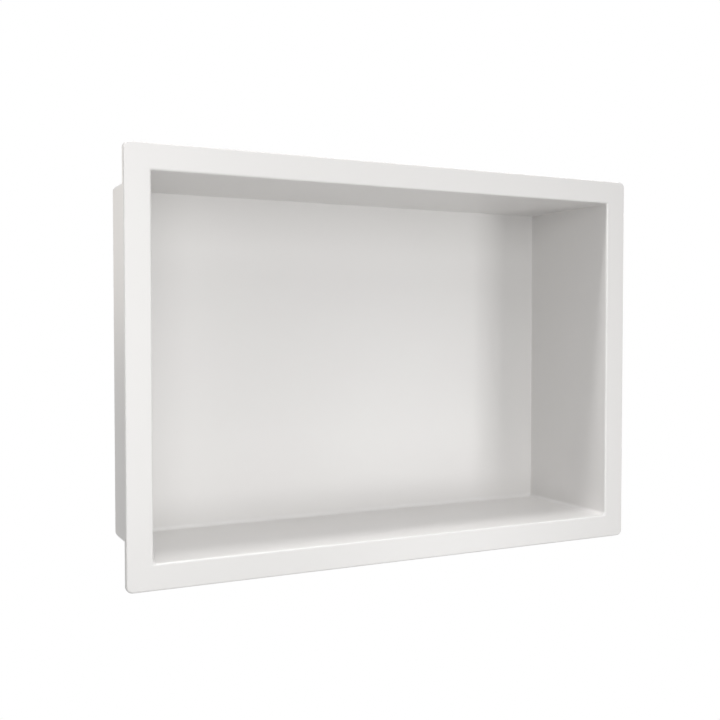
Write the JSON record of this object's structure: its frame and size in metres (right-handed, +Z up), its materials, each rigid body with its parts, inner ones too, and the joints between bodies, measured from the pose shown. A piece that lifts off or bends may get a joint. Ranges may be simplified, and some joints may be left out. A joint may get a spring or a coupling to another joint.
{
  "type": "shower niche insert",
  "caption": "White moulded niche insert for a tiled shower wall: a flat picture-frame flange with rounded edges round a recessed shelf box with a coved floor.",
  "frame": {"origin": "middle of the flange's back face, in the plane of the finished wall", "axes": "+X to the right along the flange, +Y into the wall, +Z up; the mouth faces -Y"},
  "size_m": [0.41, 0.1025, 0.29],
  "materials": {
    "white_plastic": "satin, moulded"
  },
  "bodies": {
    "root": {"niche_insert": "white_plastic"}
  },
  "joints": []
}
